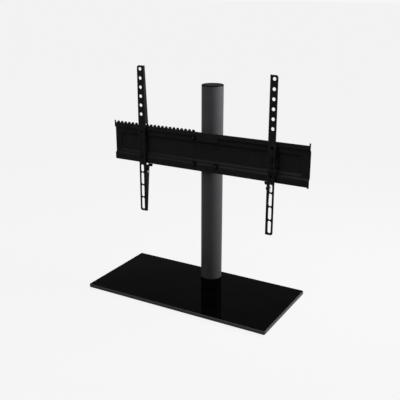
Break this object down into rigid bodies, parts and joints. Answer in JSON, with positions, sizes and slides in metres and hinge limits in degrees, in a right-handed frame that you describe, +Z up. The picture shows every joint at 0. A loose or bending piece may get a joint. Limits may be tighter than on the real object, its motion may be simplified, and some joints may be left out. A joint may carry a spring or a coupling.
{
  "type": "tv stand with mount",
  "caption": "Table-top screen stand: black glass base, round grey column, and a pressed rail with two hook-on slotted arms that slide, swivel and adjust in height.",
  "frame": {"origin": "on the table under the middle of the glass base", "axes": "+X along the mounting rail to the right as the viewer sees it, -Y towards the viewer, +Z up"},
  "size_m": [0.599, 0.264, 0.6177],
  "materials": {
    "glass": "black tempered glass, polished",
    "column_paint": "dark grey satin powder coat",
    "black_steel": "black satin powder coat",
    "dark_fastener": "blackened steel",
    "zinc_steel": "bright zinc plate",
    "black_plastic": "black, fine grain",
    "rubber": "black, matt"
  },
  "bodies": {
    "base": {"base_glass": "glass", "foot_front_left": "rubber", "foot_front_right": "rubber", "foot_rear_left": "rubber", "foot_rear_right": "rubber", "under_plate": "black_steel", "under_gasket": "rubber", "base_bolt_1": "zinc_steel", "base_bolt_2": "zinc_steel", "base_bolt_3": "zinc_steel", "column_gasket": "rubber", "column_tube": "column_paint", "column_foot_insert": "zinc_steel", "column_cap": "black_plastic"},
    "height_sleeve": {"clamp_liner": "black_plastic"},
    "mount_head": {"mounting_rail": "black_steel", "rear_clamp": "black_steel", "clamp_bolt_upper_left": "dark_fastener", "clamp_bolt_lower_left": "dark_fastener", "clamp_bolt_lower_right": "dark_fastener", "clamp_washer_upper_left": "dark_fastener", "clamp_washer_lower_left": "dark_fastener", "clamp_washer_lower_right": "dark_fastener", "clamp_nut_upper_left": "dark_fastener", "clamp_nut_lower_left": "dark_fastener", "clamp_nut_lower_right": "dark_fastener"},
    "left_arm": {"left_arm": "black_steel", "left_latch_rivet": "dark_fastener", "left_latch_spring": "dark_fastener"},
    "right_arm": {"right_arm": "black_steel", "right_latch_rivet": "dark_fastener", "right_latch_spring": "dark_fastener"},
    "left_latch": {"left_latch": "dark_fastener"},
    "right_latch": {"right_latch": "dark_fastener"}
  },
  "joints": [
    {"name": "mount_height", "type": "slide", "parent": "base", "child": "height_sleeve", "axis": [0, 0, 1], "range_m": [-0.178, 0.125]},
    {"name": "mount_swivel", "type": "hinge", "parent": "height_sleeve", "child": "mount_head", "pos_m": [0, 0.094, 0.3955], "axis": [0, 0, 1], "continuous": true},
    {"name": "left_arm_slide", "type": "slide", "parent": "mount_head", "child": "left_arm", "axis": [-1, 0, 0], "range_m": [-0.144, 0.103]},
    {"name": "right_arm_slide", "type": "slide", "parent": "mount_head", "child": "right_arm", "axis": [1, 0, 0], "range_m": [-0.144, 0.103]},
    {"name": "left_latch_hinge", "type": "hinge", "parent": "left_arm", "child": "left_latch", "pos_m": [-0.187, 0.05, 0.324], "axis": [-1, 0, 0], "range_deg": [0, 38], "stiffness_Nm_per_rad": 0.4, "springref_deg": -8.59, "deforming": ["left_latch_spring"]},
    {"name": "right_latch_hinge", "type": "hinge", "parent": "right_arm", "child": "right_latch", "pos_m": [0.187, 0.05, 0.324], "axis": [-1, 0, 0], "range_deg": [0, 38], "stiffness_Nm_per_rad": 0.4, "springref_deg": -8.59, "deforming": ["right_latch_spring"]}
  ]
}
